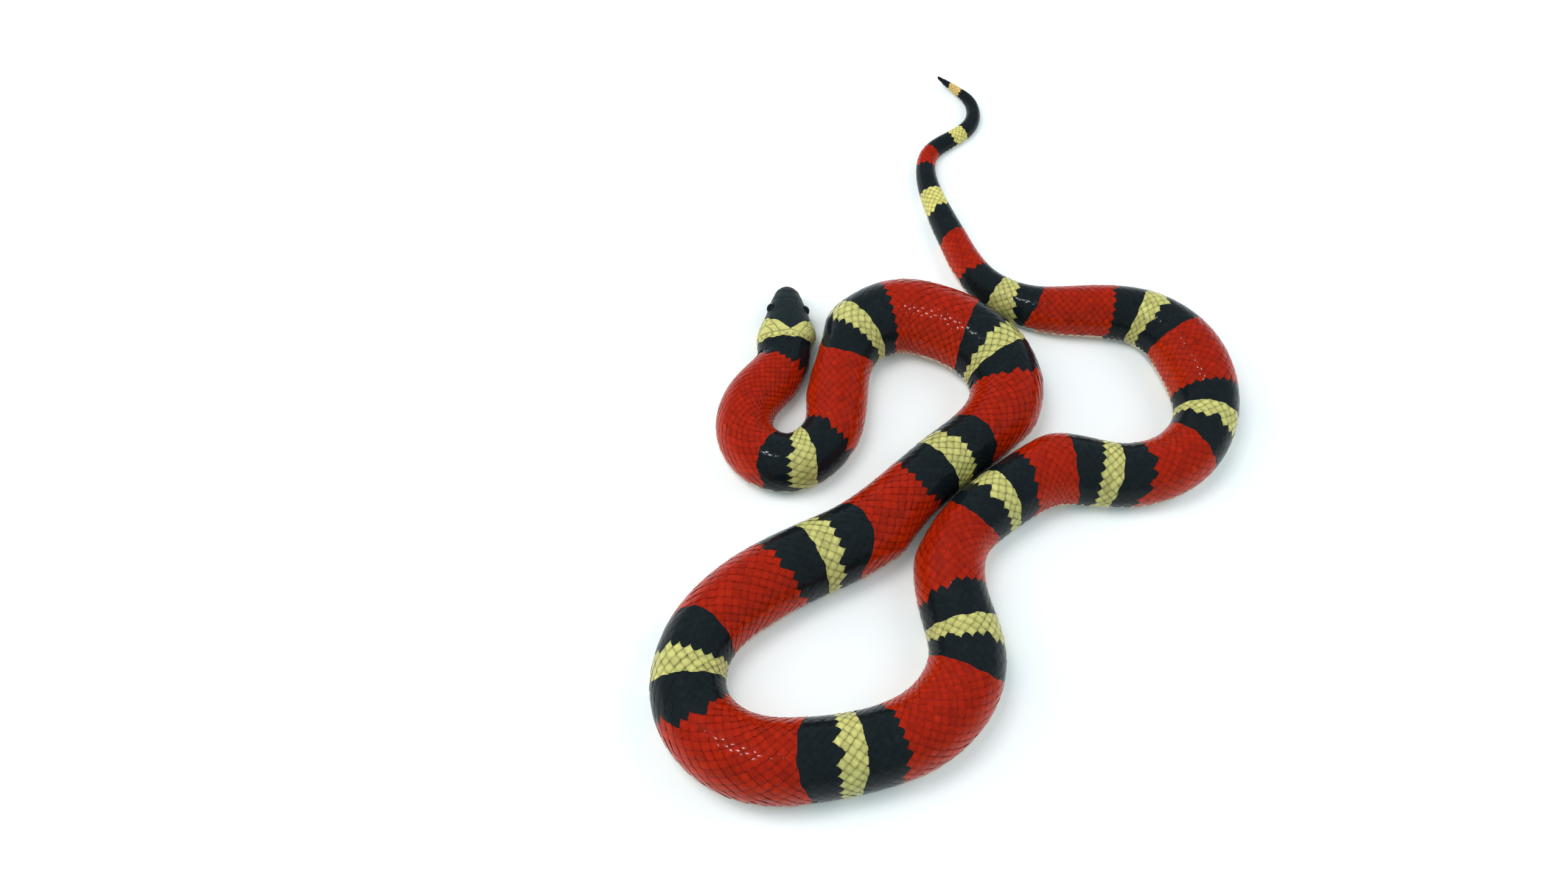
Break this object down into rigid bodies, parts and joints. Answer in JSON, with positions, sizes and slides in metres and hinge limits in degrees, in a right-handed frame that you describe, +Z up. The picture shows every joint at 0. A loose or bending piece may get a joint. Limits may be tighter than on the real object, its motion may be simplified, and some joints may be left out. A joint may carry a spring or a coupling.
{
  "type": "milk snake model",
  "caption": "Life-size model of a banded milk snake lying in loose coils, with belly plates, head shields, eyes and the line of the mouth",
  "frame": {"origin": "centre of the bottom of the bounding box, on the floor that the belly lies on", "axes": "+Z up from the floor, +Y the way the head points and the longest extent, +X to the snake's right when it looks along +Y"},
  "size_m": [0.1433, 0.2025, 0.0151],
  "materials": {
    "body_scales": "smooth glossy scales in red, black and pale yellow rings, with a pale belly",
    "head_scales": "smooth glossy black shields with a yellow collar behind them",
    "eye": "polished black, under a clear fixed scale"
  },
  "bodies": {
    "root": {"head": "head_scales", "lower_jaw": "head_scales", "eye_left": "eye", "eye_right": "eye", "neck": "body_scales", "torso_01": "body_scales", "torso_02": "body_scales", "torso_03": "body_scales", "torso_04": "body_scales", "torso_05": "body_scales", "torso_06": "body_scales", "torso_07": "body_scales", "torso_08": "body_scales", "torso_09": "body_scales", "torso_10": "body_scales", "torso_11": "body_scales", "torso_12": "body_scales", "tail_base": "body_scales", "tail_middle": "body_scales", "tail_tip": "body_scales"}
  },
  "joints": []
}
